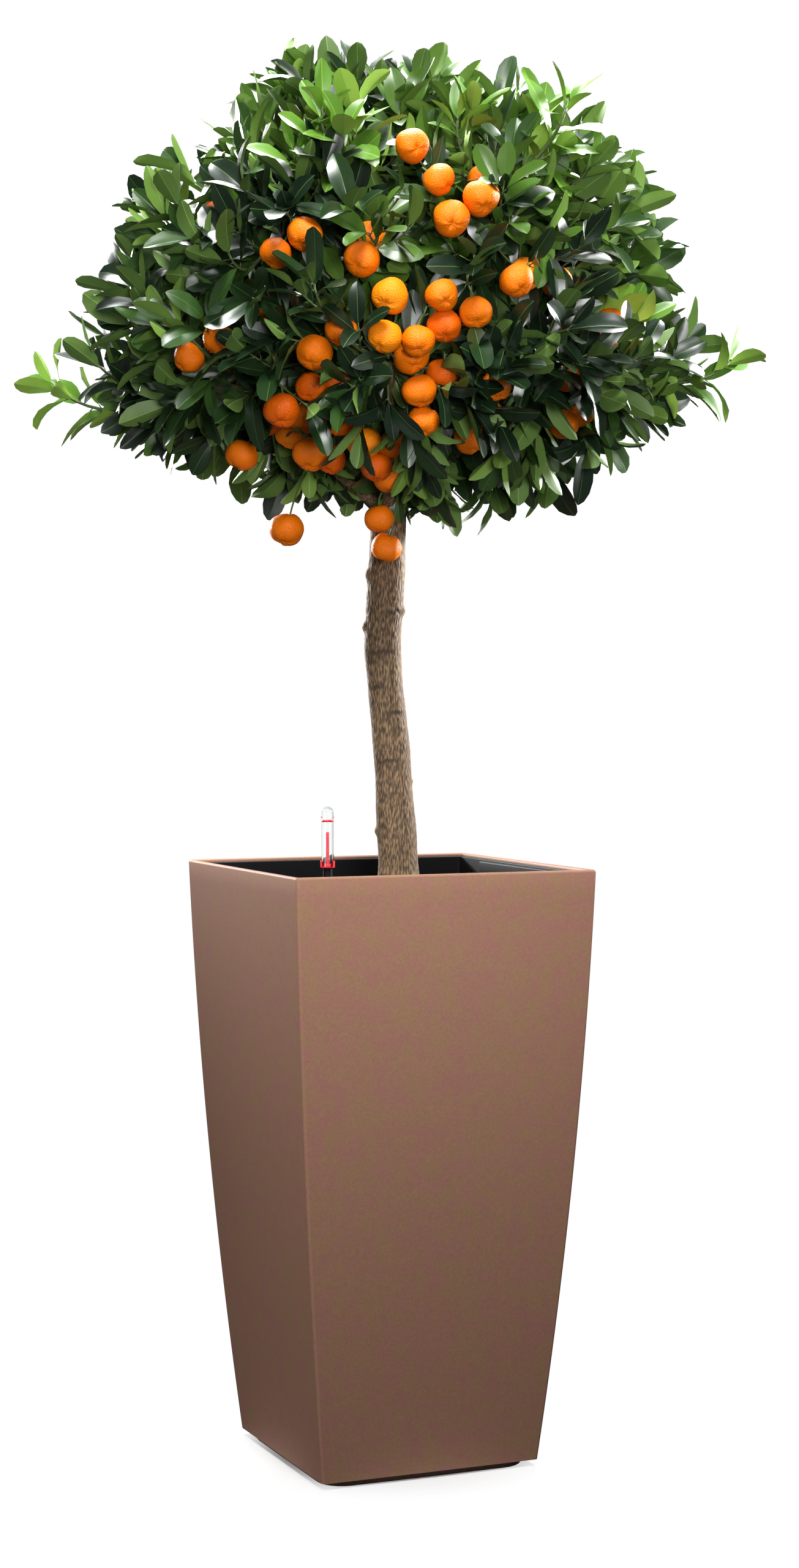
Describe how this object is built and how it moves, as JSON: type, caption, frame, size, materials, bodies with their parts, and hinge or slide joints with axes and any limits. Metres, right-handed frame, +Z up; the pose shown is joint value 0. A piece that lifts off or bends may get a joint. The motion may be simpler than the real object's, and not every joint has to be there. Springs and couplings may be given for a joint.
{
  "type": "potted calamondin orange tree",
  "caption": "Small citrus tree with a bare trunk and a dense round crown of leaves and orange fruit, in a tall square planter that narrows towards its foot, with a water level gauge.",
  "frame": {"origin": "on the ground, at the middle of the planter's flat underside", "axes": "+Z up along the trunk; the planter's sides face along X and Y, with the level gauge in the corner towards -X and -Y"},
  "size_m": [0.6729, 0.619, 1.3597],
  "materials": {
    "planter": "satin brown moulded plastic with a fine mottle",
    "base": "dark matt plastic",
    "liner": "black semi-matt plastic",
    "soil": "dark moist potting mix",
    "clear_tube": "clear plastic",
    "float": "red plastic",
    "bark": "brown bark with fine tan ridges",
    "foliage": "glossy dark green leaves with orange fruit"
  },
  "bodies": {
    "plant": {"planter_shell": "planter", "planter_base": "base", "planter_liner": "liner", "liner_grip_right": "liner", "liner_grip_left": "liner", "soil": "soil", "level_post": "liner", "level_tube": "clear_tube", "trunk": "bark", "bough_lower_1": "bark", "bough_lower_2": "bark", "bough_lower_3": "bark", "bough_lower_4": "bark", "bough_lower_5": "bark", "bough_lower_6": "bark", "bough_lower_7": "bark", "bough_upper_1": "bark", "bough_upper_2": "bark", "bough_upper_3": "bark", "bough_upper_4": "bark", "bough_upper_5": "bark", "bough_top": "bark", "foliage_lower_1": "foliage", "foliage_lower_2": "foliage", "foliage_lower_3": "foliage", "foliage_lower_4": "foliage", "foliage_lower_5": "foliage", "foliage_lower_6": "foliage", "foliage_lower_7": "foliage", "foliage_upper_1": "foliage", "foliage_upper_2": "foliage", "foliage_upper_3": "foliage", "foliage_upper_4": "foliage", "foliage_upper_5": "foliage", "foliage_top": "foliage"},
    "float": {"level_float": "float"}
  },
  "joints": [
    {"name": "level_rise", "type": "slide", "parent": "plant", "child": "float", "axis": [0, 0, 1], "range_m": [0, 0.012]}
  ]
}
